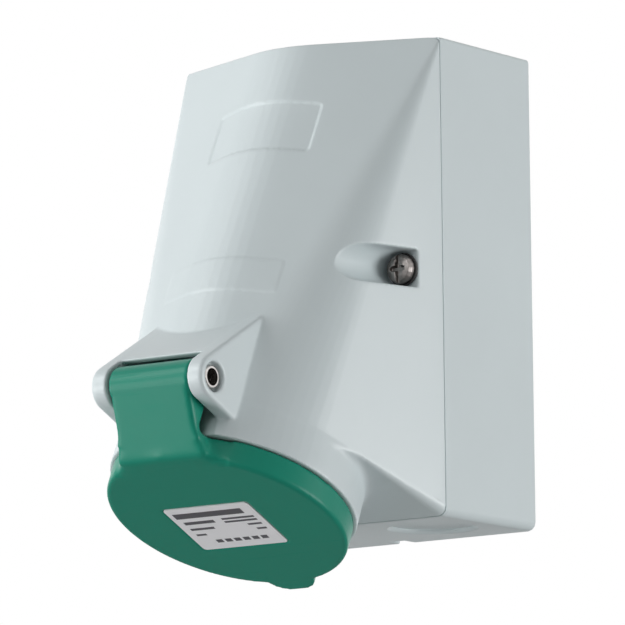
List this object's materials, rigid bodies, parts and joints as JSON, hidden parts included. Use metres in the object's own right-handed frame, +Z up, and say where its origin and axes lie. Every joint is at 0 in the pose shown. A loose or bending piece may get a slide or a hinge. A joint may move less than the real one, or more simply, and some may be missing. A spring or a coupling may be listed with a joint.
{
  "type": "industrial wall socket",
  "caption": "Surface-mounted industrial socket: slim rear box, tapering hood with a tilted round collar, and a sprung hinged lid.",
  "frame": {"origin": "middle of the rear box's back face, on the wall", "axes": "+X to the right seen from the front, +Y into the wall, +Z up; the front looks along -Y"},
  "size_m": [0.0984, 0.1369, 0.1697],
  "materials": {
    "grey_plastic": "satin light grey, faintly textured",
    "green_plastic": "semi-gloss green",
    "dark_insert_plastic": "matt dark grey",
    "black_rubber": "matt black rubber",
    "plated_steel": "plated steel",
    "contact_brass": "turned brass",
    "pale_plate": "pale satin plate"
  },
  "bodies": {
    "housing": {"rear_housing": "grey_plastic", "front_housing": "grey_plastic", "housing_seal": "black_rubber", "cover_screw_left": "plated_steel", "cover_screw_right": "plated_steel", "cover_screw_seal_left": "black_rubber", "cover_screw_seal_right": "black_rubber", "contact_carrier": "dark_insert_plastic", "carrier_seal": "black_rubber", "terminal_block": "dark_insert_plastic", "carrier_screw_left": "plated_steel", "carrier_screw_right": "plated_steel", "contact_earth": "contact_brass", "contact_line_1": "contact_brass", "contact_line_2": "contact_brass", "contact_line_3": "contact_brass", "contact_neutral": "contact_brass", "terminal_screw_earth": "plated_steel", "terminal_screw_line_1": "plated_steel", "terminal_screw_line_2": "plated_steel", "terminal_screw_line_3": "plated_steel", "terminal_screw_neutral": "plated_steel", "hinge_pin": "plated_steel", "lid_spring": "plated_steel"},
    "lid": {"lid": "green_plastic", "lid_seal": "black_rubber", "rating_plate": "pale_plate"}
  },
  "joints": [
    {"name": "lid_hinge", "type": "hinge", "parent": "housing", "child": "lid", "pos_m": [0, -0.13003, -0.03817], "axis": [-1, 0, 0], "range_deg": [0, 120], "stiffness_Nm_per_rad": 0.05, "springref_deg": -68.75, "deforming": ["lid_spring"]}
  ]
}
